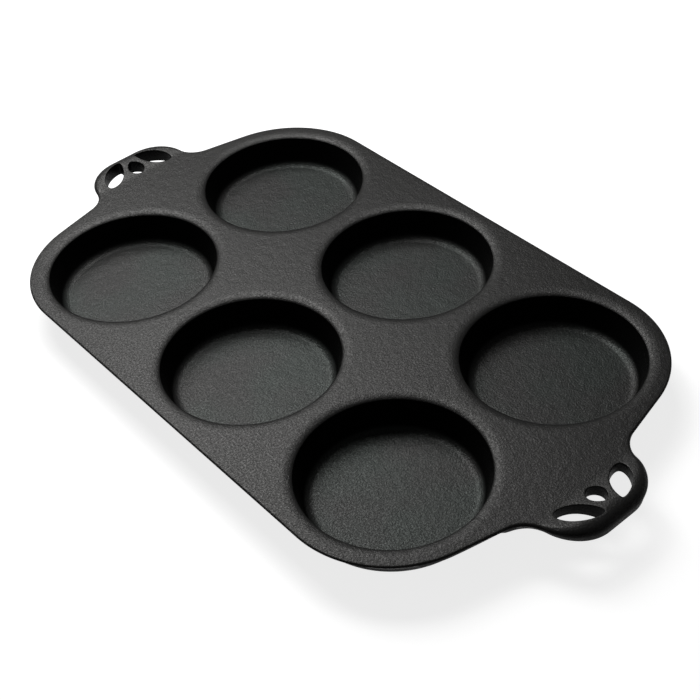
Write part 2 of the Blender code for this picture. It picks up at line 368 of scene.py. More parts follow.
class SkinMesh:
    """Gathers a closed skin from rings of corners and from filled flat regions."""

    def __init__(self) -> None:
        """Starts an empty skin."""
        self.mesh = bmesh.new()
        self.top = self.mesh.verts.layers.float.new(TOP_FACE)

    def ring(self, points: Sequence[Vector], top: ShareAt | None = None) -> Ring:
        """Adds one ring of corners.

        Args:
            points: The corners' places.
            top: How far each place belongs to the top face, from 0 to 1.

        Returns:
            The new corners.
        """
        corners = [self.mesh.verts.new(point) for point in points]
        if top:
            for corner in corners:
                corner[self.top] = top(corner.co.x, corner.co.y)
        return corners

    def bridge(self, rings: Sequence[Ring]) -> None:
        """Joins each ring to the next one with quads.

        Args:
            rings: Closed rings of equal count.
        """
        for lower, upper in zip(rings, rings[1:]):
            for index in range(len(lower)):
                after = (index + 1) % len(lower)
                self.mesh.faces.new((lower[index], lower[after], upper[after], upper[index]))

    def fill(self, borders: Sequence[Ring], spacing: float, height: ShareAt,
             top: ShareAt | None = None) -> None:
        """Fills the region inside the first border and outside the others.

        Args:
            borders: Rings of corners that are there already: the outer one, then each hole's.
            spacing: Distance between the new corners inside the region.
            height: Function of X and Y that gives a new corner's level.
            top: How far each new corner belongs to the top face.
        """
        loops = [np.array([corner.co.xy for corner in border]) for border in borders]
        inner = scatter(loops, spacing)
        flat = [Vector(point) for point in np.concatenate(loops + [inner])]
        edges = []
        first = 0
        for loop in loops:
            count = len(loop)
            edges += [(first + index, first + (index + 1) % count) for index in range(count)]
            first += count
        points, _, faces, origins, _, _ = geometry.delaunay_2d_cdt(flat, edges, [], 0, POINT_SLACK)
        known = [corner for border in borders for corner in border]
        fresh = {}
        for index, origin in enumerate(origins):
            if origin and origin[0] < len(known):
                fresh[index] = known[origin[0]]
            else:
                x, y = points[index]
                fresh[index] = self.ring([Vector((x, y, height(x, y)))], top)[0]
        centres = np.array([sum((points[i] for i in face), Vector((0.0, 0.0))) / 3.0 for face in faces])
        wanted = inside(centres, loops[0])
        for hole in loops[1:]:
            wanted &= ~inside(centres, hole)
        for face, keep in zip(faces, wanted):
            if keep:
                self.mesh.faces.new([fresh[index] for index in face])

    def piece(self, name: str, sharp: float) -> Object:
        """Makes the object, with its faces pointing out and its sharp edges marked.

        Args:
            name: The piece's name.
            sharp: Angle from which an edge between two faces shows as an edge.

        Returns:
            The new object.
        """
        data = bpy.data.meshes.new(name)
        settle(self.mesh, data, sharp)
        return placed(name, data)


def inside(points: np.ndarray, loop: np.ndarray) -> np.ndarray:
    """Tests which points lie inside a closed loop.

    Args:
        points: Level points, one a row.
        loop: The loop's corners, one a row.

    Returns:
        One truth value for each point.
    """
    x, y = points[:, 0, None], points[:, 1, None]
    x0, y0 = loop[:, 0], loop[:, 1]
    x1, y1 = np.roll(x0, -1), np.roll(y0, -1)
    spans = (y0 > y) != (y1 > y)
    rise = np.where(y1 == y0, 1.0, y1 - y0)
    crossings = spans & (x < (x1 - x0) * (y - y0) / rise + x0)
    return crossings.sum(axis=1) % 2 == 1


def clearance(points: np.ndarray, loop: np.ndarray) -> np.ndarray:
    """Measures each point's distance to a closed loop.

    Args:
        points: Level points, one a row.
        loop: The loop's corners, one a row.

    Returns:
        One distance for each point.
    """
    along = np.roll(loop, -1, axis=0) - loop
    reach = points[:, None, :] - loop
    share = (reach * along).sum(axis=2) / np.maximum((along ** 2).sum(axis=1), LEAST_SQUARE)
    gap = reach - np.clip(share, 0.0, 1.0)[:, :, None] * along
    return np.sqrt((gap ** 2).sum(axis=2)).min(axis=1)


def scatter(loops: Sequence[np.ndarray], spacing: float) -> np.ndarray:
    """Lays an even triangular net of points in a region and clear of its borders.

    Args:
        loops: The region's outer border, then the border of each hole.
        spacing: Distance between points.

    Returns:
        The points, one a row.
    """
    low, high = loops[0].min(axis=0), loops[0].max(axis=0)
    rows = []
    for row, y in enumerate(np.arange(low[1], high[1], spacing * math.sqrt(3.0) / 2.0)):
        xs = np.arange(low[0] + (row % 2) * spacing / 2.0, high[0], spacing)
        rows.append(np.stack([xs, np.full_like(xs, y)], axis=1))
    points = np.concatenate(rows)
    points = points[inside(points, loops[0])]
    for hole in loops[1:]:
        points = points[~inside(points, hole)]
    for loop in loops:
        points = points[clearance(points, loop) > spacing * BORDER_CLEAR]
    return points


@dataclass(frozen=True)
class CupForm:
    """The half section of one cup, measured from the deck's top face and the cup's axis.

    The lip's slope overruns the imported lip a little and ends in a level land, where the deck's skin
    takes over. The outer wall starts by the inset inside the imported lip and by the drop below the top.
    """

    pan: PanFrame
    depth: float = 0.0190
    wall_draft: float = math.radians(10.0)
    inner_draft: float = math.radians(15.0)
    lip_overrun: float = 0.0014
    lip_width: float = 0.0066
    lip_drop: float = 0.0021
    land: float = 0.0006
    floor_fillet: float = 0.0060
    wall_inset: float = 0.0020
    wall_drop: float = 0.0028
    foot_round: float = 0.0080
    rim_fillet: float = 0.0020
    arc_steps: int = 12
    lip_steps: int = 24
    wall_steps: int = 6
    floor_steps: int = 14

    @property
    def border(self) -> float:
        """Radius at which the cup's skin meets the deck's."""
        return self.lip_end + self.land

    @property
    def lip_end(self) -> float:
        """Radius at which the lip's slope has run out into the deck."""
        return self.pan.lip_radius + self.lip_overrun

    def arc(self, centre: Vector, radii: tuple[float, float], start: float, end: float,
            steps: int) -> Loop:
        """Points of an elliptical arc of the section, from one angle to another in equal steps."""
        angles = [blend(start, end, index / steps) for index in range(steps + 1)]
        return [centre + Vector((radii[0] * math.cos(a), radii[1] * math.sin(a))) for a in angles]

    def stretch(self, start: Vector, end: Vector, steps: int) -> Loop:
        """Points between two points of the section, without the two themselves."""
        return [start.lerp(end, index / steps) for index in range(1, steps)]

    def inner(self) -> Loop:
        """Draws the section from the middle of the floor up the wall to the foot of the lip.

        Returns:
            Its points, outwards.
        """
        top = self.pan.deck_top
        floor = top - self.depth
        wall_top = Vector((self.lip_end - self.lip_width, top - self.lip_drop))
        up = Vector((math.sin(self.inner_draft), math.cos(self.inner_draft)))
        outward = Vector((up.y, -up.x))
        run = (wall_top.y - floor - self.floor_fillet * (1.0 - up.x)) / up.y
        wall_foot = wall_top - up * run
        turn = self.arc(wall_foot - outward * self.floor_fillet, (self.floor_fillet,) * 2,
                        -QUARTER_TURN, -self.inner_draft, self.arc_steps)
        middle = Vector((0.0, floor))
        floor_run = self.stretch(middle, turn[0], self.floor_steps)
        return [middle] + floor_run + turn + self.stretch(turn[-1], wall_top, self.wall_steps)

    def lip(self) -> Loop:
        """Draws the section on over the lip and out to the border with the deck.

        Returns:
            Its points, outwards.
        """
        top = self.pan.deck_top
        centre = Vector((self.lip_end, top - self.lip_drop))
        curve = self.arc(centre, (self.lip_width, self.lip_drop),
                         2.0 * QUARTER_TURN, QUARTER_TURN, self.lip_steps)
        return curve + [Vector((self.border, top))]

    def outer(self) -> Loop:
        """Draws the section back from the border's lower edge, down the outside to the foot.

        Returns:
            Its points, inwards to the middle of the foot.
        """
        top = self.pan.deck_top
        under = self.pan.deck_underside
        tilt = Vector((math.cos(self.wall_draft), -math.sin(self.wall_draft)))
        start = Vector((self.pan.lip_radius - self.wall_inset, top - self.wall_drop))

        def wall_at(height: float) -> float:
            """The outer wall's radius at a level."""
            return start.x + (height - start.y) * math.tan(self.wall_draft)

        ease = 1.0 + tilt.y
        rim_touch = under - self.rim_fillet * ease
        rim_centre = Vector((wall_at(rim_touch), rim_touch)) + tilt * self.rim_fillet
        rim = self.arc(rim_centre, (self.rim_fillet,) * 2,
                       QUARTER_TURN, 2.0 * QUARTER_TURN - self.wall_draft, self.arc_steps // 2)
        foot_touch = self.foot_round * ease
        foot_centre = Vector((wall_at(foot_touch), foot_touch)) - tilt * self.foot_round
        foot = self.arc(foot_centre, (self.foot_round,) * 2,
                        -self.wall_draft, -QUARTER_TURN, self.arc_steps)
        wall = self.stretch(rim[-1], foot[0], self.wall_steps)
        sole = self.stretch(foot[-1], Vector((0.0, 0.0)), self.floor_steps // 2)
        return [Vector((self.border, under))] + rim + wall + foot + sole + [Vector((0.0, 0.0))]

    def profile(self) -> tuple[Loop, list[float]]:
        """Joins the parts of the section.

        Returns:
            Its points, and how far each one belongs to the top face.
        """
        inner, lip, outer = self.inner(), self.lip(), self.outer()
        floor = self.pan.deck_top - self.depth
        shares = [1.0 - smooth_step((p.y - floor) / self.floor_fillet) for p in inner]
        shares += [smooth_step(1.0 - (self.pan.deck_top - p.y) / self.lip_drop) for p in lip]
        LOG.info("cup section: %d points, %.1f mm deep", len(inner + lip + outer), self.depth * 1000.0)
        return inner + lip + outer, shares + [0.0] * len(outer)


class NodeTree:
    """A small helper that adds and links the nodes of one tree."""

    def __init__(self, tree: bpy.types.NodeTree) -> None:
        """Wraps the tree that it adds to."""
        self.tree = tree

    @classmethod
    def group(cls, name: str, kind: str, inputs: dict[str, str | float],
              outputs: dict[str, str]) -> tuple["NodeTree", bpy.types.NodeOutputs]:
        """Starts a group with its named sockets.

        Args:
            name: The group's name.
            kind: The tree's type name.
            inputs: Each input's kind, or the number that it starts from.
            outputs: Each output's kind.

        Returns:
            The group in its helper, and its input values.
        """
        made = cls(bpy.data.node_groups.new(name, kind))
        for way, sockets in (("INPUT", inputs), ("OUTPUT", outputs)):
            for label, value in sockets.items():
                word = "NodeSocket" + NUMBER_SOCKETS.get(type(value), str(value))
                item = made.tree.interface.new_socket(label, in_out=way, socket_type=word)
                if type(value) in NUMBER_SOCKETS:
                    item.default_value = value
        return made, made.add("NodeGroupInput").outputs

    def feed(self, node: Node, inputs: dict[str | int, Value]) -> Node:
        """Sets or links a node's inputs.

        Args:
            node: The node.
            inputs: Values or sockets for its inputs, by name or number.

        Returns:
            The node.
        """
        for key, value in inputs.items():
            if isinstance(value, Socket):
                self.tree.links.new(value, node.inputs[key])
            else:
                node.inputs[key].default_value = value
        return node

    def add(self, kind: str, inputs: dict[str | int, Value] | None = None,
            **settings: object) -> Node:
        """Adds a node.

        Args:
            kind: The node's type name.
            inputs: Values or sockets for its inputs, by name or number.
            settings: Values for the node's own properties.

        Returns:
            The new node.
        """
        node = self.tree.nodes.new(kind)
        for name, value in settings.items():
            setattr(node, name, value)
        return self.feed(node, inputs or {})

    def out(self, kind: str, inputs: dict[str | int, Value] | None = None,
            **settings: object) -> Socket:
        """Adds a node, as add does, and gives its first output."""
        return self.add(kind, inputs, **settings).outputs[0]

    def math(self, operation: str, *values: Value) -> Socket:
        """Adds a Math node and gives its output."""
        return self.out("ShaderNodeMath", dict(enumerate(values)), operation=operation)

    def noise(self, vector: Socket, size: Value, **inputs: Value) -> Socket:
        """Adds a noise pattern.

        Args:
            vector: Where the pattern is read.
            size: Size of its lumps.
            inputs: Values for the node's other inputs, of which W shifts the pattern.

        Returns:
            The pattern, from 0 to 1.
        """
        scale = self.math("DIVIDE", 1.0, size)
        return self.out("ShaderNodeTexNoise", {"Vector": vector, "Scale": scale, **inputs},
                        noise_dimensions="4D" if "W" in inputs else "3D")

    def ranged(self, value: Value, source: Sequence[Value], target: Sequence[Value] = (0.0, 1.0),
               smooth: bool = False) -> Socket:
        """Maps a value from one range to another.

        Args:
            value: The value.
            source: Where its range starts and ends.
            target: What it gives there.
            smooth: Whether it eases in and out.

        Returns:
            The mapped value.
        """
        return self.out("ShaderNodeMapRange", {
            "Value": value, "From Min": source[0], "From Max": source[1],
            "To Min": target[0], "To Max": target[1],
        }, interpolation_type="SMOOTHSTEP" if smooth else "LINEAR")

    def mixed(self, share: Value, start: Value, end: Value, colours: bool = False) -> Socket:
        """Adds a mix of two numbers or two colours.

        Args:
            share: How much of the second one it takes.
            start: The first one.
            end: The second one.
            colours: Whether they are colours.

        Returns:
            The mix.
        """
        # The node has its own inputs and its own output for each kind, told apart by number alone.
        kind, first, output = ("RGBA", 6, 2) if colours else ("FLOAT", 2, 0)
        return self.add("ShaderNodeMix", {0: share, first: start, first + 1: end},
                        data_type=kind).outputs[output]

    def give(self, *values: Socket) -> bpy.types.NodeTree:
        """Ends a group with the values that it gives."""
        self.add("NodeGroupOutput", dict(enumerate(values)))
        return self.tree

    def cast(self, shape: Socket, material: Socket) -> bpy.types.NodeTree:
        """Ends a geometry group: its copies become real and take their material."""
        real = self.out("GeometryNodeRealizeInstances", {"Geometry": shape})
        return self.give(self.out("GeometryNodeSetMaterial", {"Geometry": real, "Material": material}))


def evaluated(piece: Object, name: str) -> Object:
    """Turns a piece's modifiers into a plain mesh.

    Args:
        piece: The object with its modifiers; it is removed.
        name: The name of the plain piece.

    Returns:
        The plain piece, at the origin.
    """
    bpy.context.view_layer.update()
    graph = bpy.context.evaluated_depsgraph_get()
    data = bpy.data.meshes.new_from_object(piece.evaluated_get(graph), depsgraph=graph)
    bpy.data.objects.remove(piece, do_unlink=True)
    data.name = name
    return placed(name, data)


def modify(piece: Object, tree: bpy.types.NodeTree, values: dict) -> None:
    """Gives a piece a Geometry Nodes modifier and sets its named inputs.

    Args:
        piece: The object that gets the modifier.
        tree: The modifier's tree.
        values: Input values by socket name.
    """
    modifier = piece.modifiers.new(tree.name, "NODES")
    modifier.node_group = tree
    for item in tree.interface.items_tree:
        if item.in_out == "INPUT" and item.name in values:
            modifier[item.identifier] = values[item.name]


@dataclass(frozen=True)
class SandWave:
    """Slow unevenness that the sand mould leaves in broad faces, and the iron it is cast in.

    Attributes:
        depth: How far the face dips at most.
        length: Distance over which it rises and dips.
        seed: Where in the pattern the pan lies.
    """

    depth: float = 0.00010
    length: float = 0.030
    seed: float = 3.7

    @property
    def sizes(self) -> dict[str, float]:
        """The sizes by the names of the tree's inputs."""
        return {"Wave Depth": self.depth, "Wave Length": self.length, "Seed": self.seed}

    def tree(self) -> bpy.types.NodeTree:
        """Builds the tree that lowers each corner by its share of the wave.

        Returns:
            The tree, which also sets the material.
        """
        build, given = NodeTree.group("sand_wave", "GeometryNodeTree", {
            "Geometry": "Geometry", **self.sizes, "Material": "Material",
        }, {"Geometry": "Geometry"})
        place = build.out("GeometryNodeInputPosition")
        flat = build.out("ShaderNodeVectorMath", {0: place, 1: (1.0, 1.0, 0.0)}, operation="MULTIPLY")
        wave = build.noise(flat, given["Wave Length"], W=given["Seed"], Detail=1.0)
        share = build.out("GeometryNodeInputNamedAttribute", {"Name": TOP_FACE}, data_type="FLOAT")
        dip = build.math("MULTIPLY", build.math("MULTIPLY", wave, share), given["Wave Depth"])
        offset = build.out("ShaderNodeCombineXYZ", {2: build.math("MULTIPLY", dip, -1.0)})
        moved = build.out("GeometryNodeSetPosition", {"Geometry": given["Geometry"], "Offset": offset})
        return build.cast(moved, given["Material"])

    def dress(self, piece: Object, material: Material) -> Object:
        """Casts a piece in the wave and its material, as a plain mesh of the same name.

        Args:
            piece: The drawn piece.
            material: The iron it is made of.

        Returns:
            The finished piece.
        """
        name = piece.name
        piece.name = name + "_drawn"
        tree = bpy.data.node_groups.get("sand_wave") or self.tree()
        modify(piece, tree, {**self.sizes, "Material": material})
        return evaluated(piece, name)


@dataclass(frozen=True)
class CupBattery:
    """The grid of turned cups, all of one form."""

    form: CupForm
    columns: int = 3
    rows: int = 2
    segments: int = 144
    sharp: float = math.radians(40.0)

    @property
    def sizes(self) -> dict[str, float]:
        """The counts and pitches by the names of the tree's inputs."""
        along, across = self.form.pan.cup_pitch
        return {"Segments": self.segments, "Columns": self.columns, "Rows": self.rows,
                "Column Pitch": along, "Row Pitch": across}

    def section(self) -> Object:
        """Lays out the cup's half section as a row of mesh points.

        Returns:
            The row, whose points carry their share of the top face.
        """
        points, shares = self.form.profile()
        data = bpy.data.meshes.new("cup_section")
        data.from_pydata([(point.x, 0.0, point.y) for point in points], [], [])
        layer = data.attributes.new(TOP_FACE, "FLOAT", "POINT")
        layer.data.foreach_set("value", shares)
        return placed("cup_section", data)

    def tree(self) -> bpy.types.NodeTree:
        """Builds the tree that turns the section round its axis and sets a cup at each place.

        Returns:
            The tree, which also sets the material.
        """
        build, given = NodeTree.group("cup_battery", "GeometryNodeTree", {
            "Section": "Object", **self.sizes, "Material": "Material",
        }, {"Geometry": "Geometry"})
        places = build.out("GeometryNodeMeshGrid", {
            "Vertices X": given["Columns"],
            "Vertices Y": given["Rows"],
            "Size X": self.span(build, given["Columns"], given["Column Pitch"]),
            "Size Y": self.span(build, given["Rows"], given["Row Pitch"]),
        })
        copies = build.out("GeometryNodeInstanceOnPoints", {
            "Points": places, "Instance": self.turned(build, given),
        })
        return build.cast(copies, given["Material"])

    def span(self, build: NodeTree, count: Socket, pitch: Socket) -> Socket:
        """The distance from the first to the last place of a row."""
        return build.math("MULTIPLY", build.math("SUBTRACT", count, 1.0), pitch)

    def turned(self, build: NodeTree, given: bpy.types.NodeOutputs) -> Socket:
        """Adds the nodes that turn the section into one closed cup.

        Args:
            build: The tree to add to.
            given: The group's input sockets.

        Returns:
            The cup's geometry.
        """
        section = build.add("GeometryNodeObjectInfo", {"Object": given["Section"]}).outputs["Geometry"]
        count = build.add("GeometryNodeAttributeDomainSize", {0: section}).outputs["Point Count"]
        turns = build.math("ADD", given["Segments"], 1.0)
        net = build.out("GeometryNodeMeshGrid", {"Vertices X": turns, "Vertices Y": count})
        index = build.out("GeometryNodeInputIndex")
        turn = build.math("FLOOR", build.math("DIVIDE", build.math("ADD", index, 0.5), count))
        station = build.math("SUBTRACT", index, build.math("MULTIPLY", turn, count))
        angle = build.math("MULTIPLY", build.math("DIVIDE", turn, given["Segments"]), math.tau)
        place = build.out("GeometryNodeInputPosition")
        share = build.out("GeometryNodeInputNamedAttribute", {"Name": TOP_FACE}, data_type="FLOAT")
        point, top = (
            build.out("GeometryNodeSampleIndex", {"Geometry": section, "Value": value, "Index": station},
                      data_type=kind)
            for value, kind in ((place, "FLOAT_VECTOR"), (share, "FLOAT"))
        )
        split = build.add("ShaderNodeSeparateXYZ", {0: point}).outputs
        x, y = (build.math("MULTIPLY", split[0], build.math(wave, angle)) for wave in ("COSINE", "SINE"))
        spun = build.out("ShaderNodeCombineXYZ", {0: x, 1: y, 2: split[2]})
        marked = build.out("GeometryNodeStoreNamedAttribute",
                           {"Geometry": net, "Name": TOP_FACE, "Value": top},
                           data_type="FLOAT", domain="POINT")
        wrapped = build.out("GeometryNodeSetPosition", {"Geometry": marked, "Position": spun})
        return build.out("GeometryNodeMergeByDistance", {"Geometry": wrapped, "Distance": MERGE_DISTANCE})

    def border(self, centre: Vector) -> Loop:
        """Draws the border between one cup's skin and the deck's.

        Args:
            centre: The cup's axis.

        Returns:
            Its corners, which are the turned cup's own.
        """
        radius = self.form.border
        return [centre + unit(math.tau * index / self.segments) * radius
                for index in range(self.segments)]

    def centres(self) -> list[Vector]:
        """Places the cups' axes.

        Returns:
            One point for each cup, seen from above.
        """
        along, across = self.form.pan.cup_pitch
        return [
            Vector(((column - (self.columns - 1) / 2.0) * along, (row - (self.rows - 1) / 2.0) * across))
            for row in range(self.rows) for column in range(self.columns)
        ]

    def make(self, material: Material) -> Object:
        """Builds all the cups as one plain mesh.

        Args:
            material: The iron they are made of.

        Returns:
            The piece, before its sand wave.
        """
        carrier = placed("cup_carrier", bpy.data.meshes.new("cup_carrier"))
        section = self.section()
        modify(carrier, self.tree(), {"Section": section, **self.sizes, "Material": material})
        piece = evaluated(carrier, "cup_battery")
        bpy.data.objects.remove(section, do_unlink=True)
        shell = bmesh.new()
        shell.from_mesh(piece.data)
        settle(shell, piece.data, self.sharp)
        return piece


@dataclass(frozen=True)
class DeckPlate:
    """The flat deck with its round corners and raked ends.

    The undercuts draw its lower edge in under the upper one. The lug is the thicker iron of a grip
    that runs on under the deck. In the still band beside a cut the top has no wave, so it meets the grip.
    """

    pan: PanFrame
    outline: Outline
    battery: CupBattery
    edge_round: float = 0.0010
    neck_edge: float = 0.0017
    side_undercut: float = 0.0039
    end_undercut: float = 0.0015
    neck_undercut: float = 0.0026
    lug_start: float = 0.0118
    lug_half_width: float = 0.0470
    lug_ramp: float = 0.0035
    neck_round: float = 0.0008
    least_round: float = 0.00002
    still_band: float = 0.0120
    edge_steps: int = 6
    lower_steps: int = 4
    spacing: float = 0.0024
    sharp: float = math.radians(34.0)

    def neck_share(self, point: Vector) -> float:
        """0 along the deck's edge, rising to 1 where the grip starts."""
        start = self.outline.rake_point.x
        return smooth_step((abs(point.x) - start) / (self.pan.root - start))

    def undercut(self, point: Vector) -> float:
        """How far under the edge the underside's border lies, by the edge's point.

        Args:
            point: A point of the deck's outline.

        Returns:
            The most under the long sides, less under the raked ends, and the grip's at a cut.
        """
        start, end = self.pan.cup_pitch[0], self.outline.rake_point.x
        along = smooth_step((abs(point.x) - start) / (end - start))
        edge = blend(self.side_undercut, self.end_undercut, along)
        return blend(edge, self.neck_undercut, self.neck_share(point))

    def edge(self, point: Vector) -> float:
        """How far the upper edge is rounded, by a point of the outline."""
        return blend(self.edge_round, self.neck_edge, self.neck_share(point))

    def underside(self, x: float, y: float) -> float:
        """Finds the plate's underside, where the thicker grip runs on under each raked end.

        Args:
            x: X of a place of it.
            y: Its Y.

        Returns:
            Its level.
        """
        along = smooth_step((abs(x) - self.pan.root + self.lug_start) / self.lug_ramp)
        across = smooth_step((self.lug_half_width - abs(y)) / self.lug_ramp)
        return blend(self.pan.deck_underside, self.pan.grip_low, along * across)

    def top_share(self, x: float, y: float) -> float:
        """How far a place of the top face may sink, which is not at all beside a cut."""
        return smooth_step((self.pan.root - abs(x)) / self.still_band)

    def make(self) -> Object:
        """Builds the deck's closed skin.

        Returns:
            The piece, before its sand wave.
        """
        skin = SkinMesh()
        loop = self.outline.deck_loop(self.spacing)
        rings = []
        for step in range(self.edge_steps + 1):
            angle = QUARTER_TURN * (1.0 - step / self.edge_steps)
            ease = smooth_step(math.sin(angle))
            places = []
            for point, normal in loop:
                width = self.edge(point)
                level = self.pan.deck_top - width * (1.0 - math.sin(angle))
                places.append(Vector((*(point - normal * width * (1.0 - math.cos(angle))), level)))
            rings.append(skin.ring(places, lambda x, y: self.top_share(x, y) * ease))
        for step in range(self.lower_steps + 1):
            rings.append(skin.ring(self.lower_ring(loop, QUARTER_TURN * step / self.lower_steps)))
        skin.bridge(rings)
        top_holes, low_holes = [], []
        for centre in self.battery.centres():
            border = self.battery.border(centre)
            top_holes.append(skin.ring([Vector((*p, self.pan.deck_top)) for p in border], self.top_share))
            low_holes.append(skin.ring([Vector((*p, self.pan.deck_underside)) for p in border]))
            skin.bridge([top_holes[-1], low_holes[-1]])
        skin.fill([rings[0]] + top_holes, self.spacing, lambda x, y: self.pan.deck_top, self.top_share)
        skin.fill([rings[-1]] + low_holes, self.spacing, self.underside)
        return skin.piece("deck_plate", self.sharp)

    def lower_ring(self, loop: list[Pair], angle: float) -> Loop:
        """A ring of the lower edge, which is round only where it runs into the grip.

        Args:
            loop: The deck's outline.
            angle: 0 at the edge's side, a quarter turn at the underside.

        Returns:
            The ring's places.
        """
        ring = []
        for point, normal in loop:
            radius = self.neck_round * self.neck_share(point) + self.least_round
            inset = self.undercut(point) + radius * (1.0 - math.cos(angle))
            place = point - normal * inset
            ring.append(Vector((*place, self.underside(*place) + radius * (1.0 - math.sin(angle)))))
        return ring


class Side(Enum):
    """The end of the pan that a grip is at: its node, and the half turns that take it there."""

    RIGHT = ("handle_right", 0)
    LEFT = ("handle_left", 1)


@dataclass(frozen=True)
class PetalSize:
    """One petal-shaped opening.

    Attributes:
        base: Its end towards the deck.
        tip: Its end towards the grip's outer end.
        width: Its greatest width.
        fullness: Power that moves the widest place along it; below 1 it lies nearer the base.
        bluntness: Power that rounds its ends; 1 leaves them pointed.
        steps: How many chords each side has.
    """

    base: Vector
    tip: Vector
    width: float
    fullness: float = 0.88
    bluntness: float = 0.62
    steps: int = 30

    def loop(self, growth: float = 0.0) -> Loop:
        """The petal's outline seen from above.

        Args:
            growth: How far the outline is grown beyond the petal's own.

        Returns:
            Its corners in order.
        """
        axis = (self.tip - self.base).normalized()
        base = self.base - axis * growth
        run = self.tip + axis * growth - base
        across = Vector((-axis.y, axis.x)) * (self.width / 2.0 + growth)
        shares = [(1.0 - math.cos(math.pi * step / self.steps)) / 2.0 for step in range(self.steps + 1)]
        bulges = [
            max(0.0, math.sin(math.pi * share ** self.fullness)) ** self.bluntness for share in shares
        ]
        right = [base + run * share - across * bulge for share, bulge in zip(shares, bulges)]
        left = [base + run * share + across * bulge for share, bulge in zip(shares, bulges)]
        return right + left[-2:0:-1]


